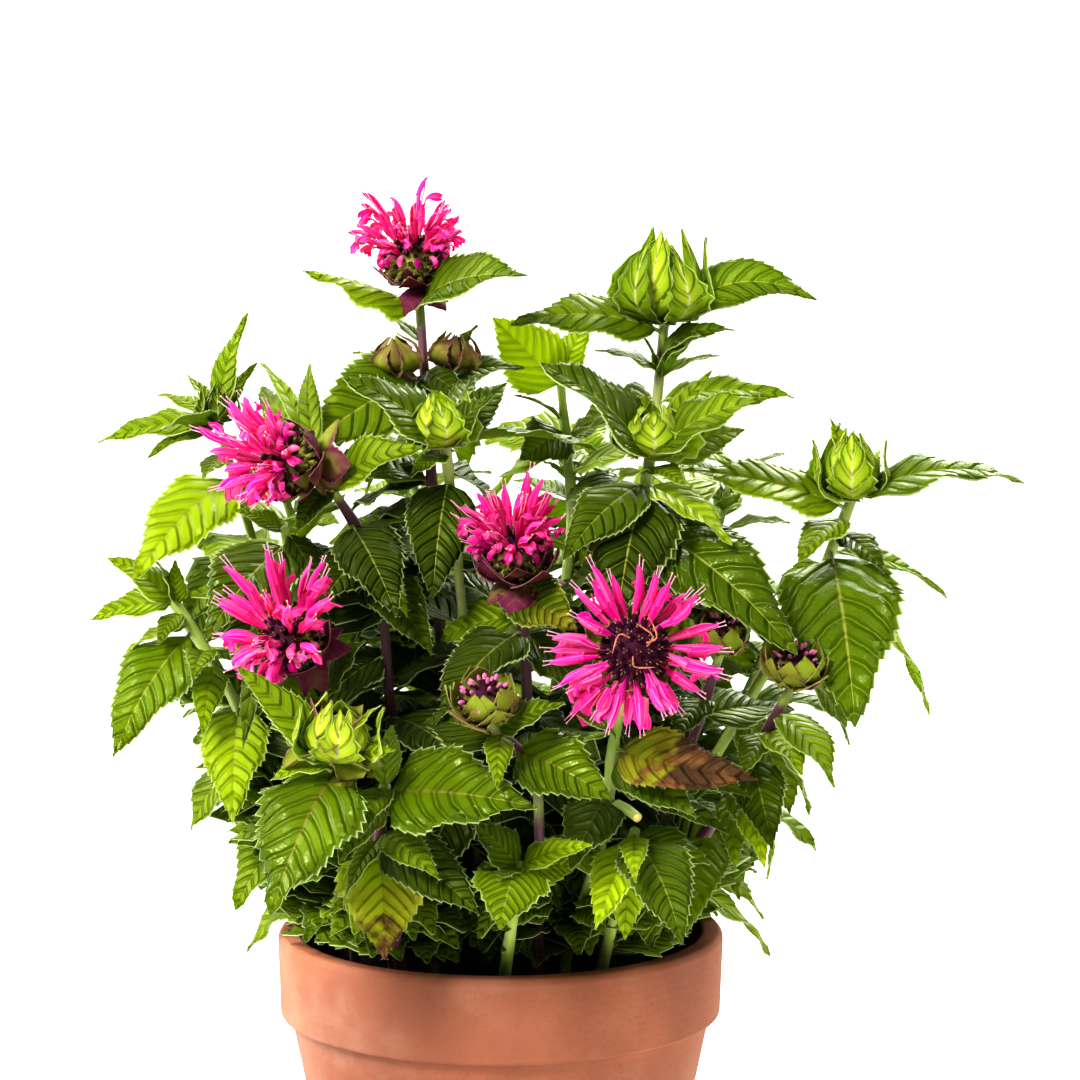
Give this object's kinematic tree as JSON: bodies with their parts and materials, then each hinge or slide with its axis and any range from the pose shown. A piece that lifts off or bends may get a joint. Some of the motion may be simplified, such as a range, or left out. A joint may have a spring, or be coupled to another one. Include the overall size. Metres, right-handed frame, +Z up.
{
  "type": "potted bee balm",
  "caption": "Bushy bee balm with shaggy pink blooms, closed leafy buds and toothed pointed leaves, rooted in soil in a tapered round clay pot with a thick rim and a flat base to stand on.",
  "frame": {"origin": "middle of the pot's flat base, on the surface it stands on", "axes": "+Z up, the side that the picture shows towards -Y, +X to the right in the picture"},
  "size_m": [0.3645, 0.3232, 0.4516],
  "materials": {
    "clay": "matte unglazed terracotta",
    "soil": "rough, crumbly, moist potting soil",
    "foliage": "satin leaf surface with raised veins and fine pale hairs",
    "petals": "soft satin pink petals"
  },
  "bodies": {
    "root": {"pot": "clay", "soil": "soil", "stem_low_front": "foliage", "stem_low_left": "foliage", "stem_low_right": "foliage", "stem_bud_dotted": "foliage", "stem_bud_low": "foliage", "stem_bloom_front": "foliage", "stem_bud_opening": "foliage", "stem_bloom_middle": "foliage", "stem_bloom_low_left": "foliage", "stem_bud_pale": "foliage", "stem_bud_middle": "foliage", "stem_bloom_left": "foliage", "stem_leafy_middle_left": "foliage", "stem_bud_right": "foliage", "stem_bud_hidden": "foliage", "stem_leafy_left": "foliage", "stem_bloom_top": "foliage", "stem_bud_top": "foliage", "stem_leafy_top_left": "foliage", "stem_leafy_lime": "foliage", "stem_back_1": "foliage", "stem_back_2": "foliage", "stem_back_3": "foliage", "stem_back_4": "foliage", "stem_back_5": "foliage", "stem_back_6": "foliage", "stem_back_7": "foliage", "bloom_top": "petals", "bloom_left": "petals", "bloom_low_left": "petals", "bloom_middle": "petals", "bloom_front": "petals", "bud_dotted": "petals", "bud_opening": "petals", "bud_hidden": "petals"}
  },
  "joints": []
}
